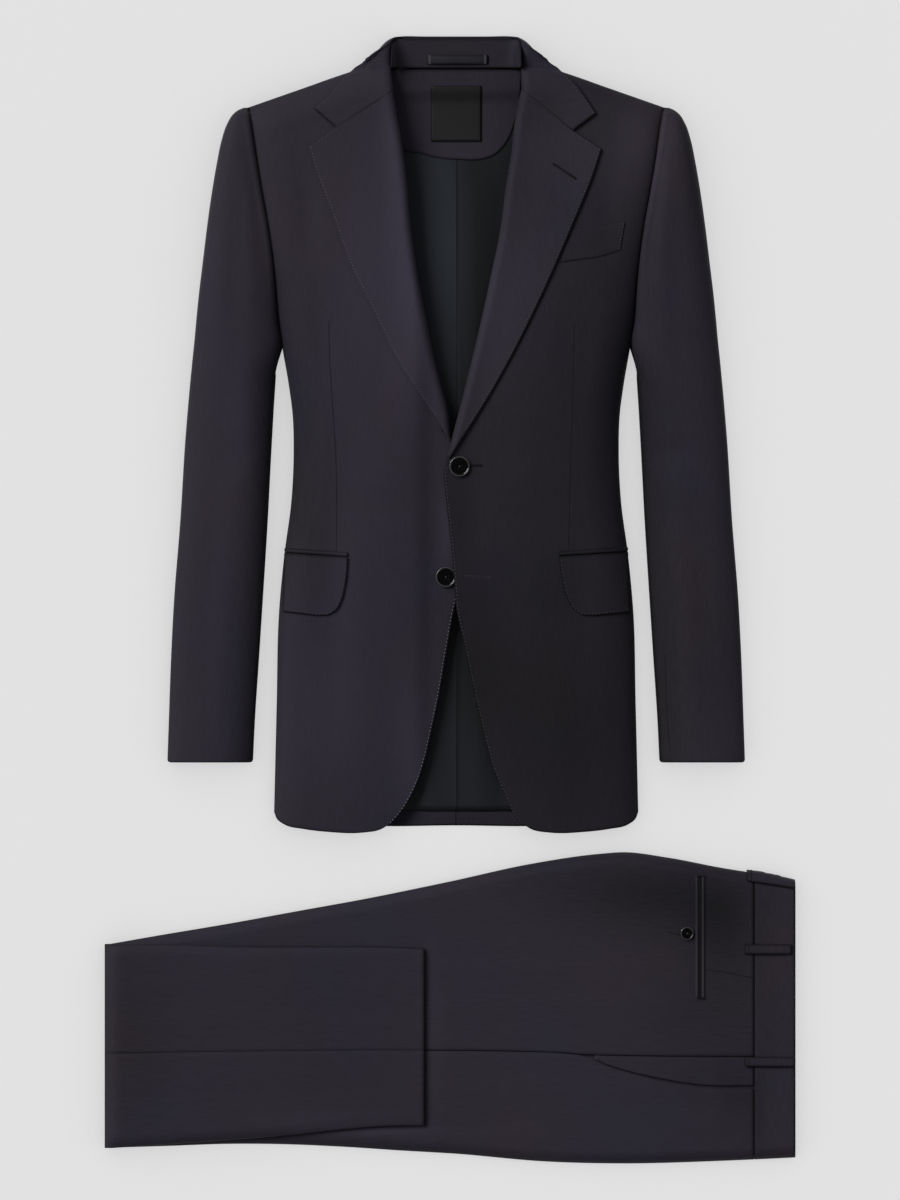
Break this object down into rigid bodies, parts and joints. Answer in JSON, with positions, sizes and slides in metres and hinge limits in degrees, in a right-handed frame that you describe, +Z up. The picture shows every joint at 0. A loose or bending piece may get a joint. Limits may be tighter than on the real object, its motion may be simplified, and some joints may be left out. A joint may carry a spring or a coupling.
{
  "type": "suit",
  "caption": "Single-breasted wool suit laid out flat: a jacket with notched lapels, a breast welt and flap pockets above trousers folded on the crease with the lower legs folded back.",
  "frame": {"origin": "the middle of the suit's box, on the surface it lies on", "axes": "X to the right of the layout (the jacket wearer's left, the trousers' waist), Y up the layout towards the jacket's collar, Z up from the surface"},
  "size_m": [0.6911, 1.1283, 0.0464],
  "materials": {
    "wool": "fine smooth worsted wool, very dark navy charcoal, matt with a faint sheen",
    "trouser_wool": "the same worsted wool, pressed on the crease",
    "lining": "near-black smooth twill lining with a soft satin sheen",
    "button": "polished black with a raised rim"
  },
  "bodies": {
    "root": {"back_left": "wool", "back_right": "wool", "back_lining": "lining", "neck_facing": "wool", "neck_label": "lining", "collar": "wool", "collar_stand": "wool", "hanger_loop": "lining", "front_left": "wool", "front_right": "wool", "lapel_left": "wool", "lapel_right": "wool", "sleeve_left_top": "wool", "sleeve_left_under": "wool", "sleeve_right_top": "wool", "sleeve_right_under": "wool", "breast_welt": "wool", "jet_left": "wool", "jet_right": "wool", "flap_left": "wool", "flap_right": "wool", "button_waist": "button", "button_lower": "button", "trouser_back_panel": "trouser_wool", "trouser_front_panel": "trouser_wool", "pocket_facing": "trouser_wool", "folded_leg_back": "trouser_wool", "folded_leg_front": "trouser_wool", "layers_below": "trouser_wool", "layers_over": "trouser_wool", "waistband": "trouser_wool", "belt_loop_back": "trouser_wool", "belt_loop_side_back": "trouser_wool", "belt_loop_side": "trouser_wool", "back_pocket_jet_upper": "trouser_wool", "back_pocket_jet_lower": "trouser_wool", "back_pocket_button": "button"}
  },
  "joints": []
}
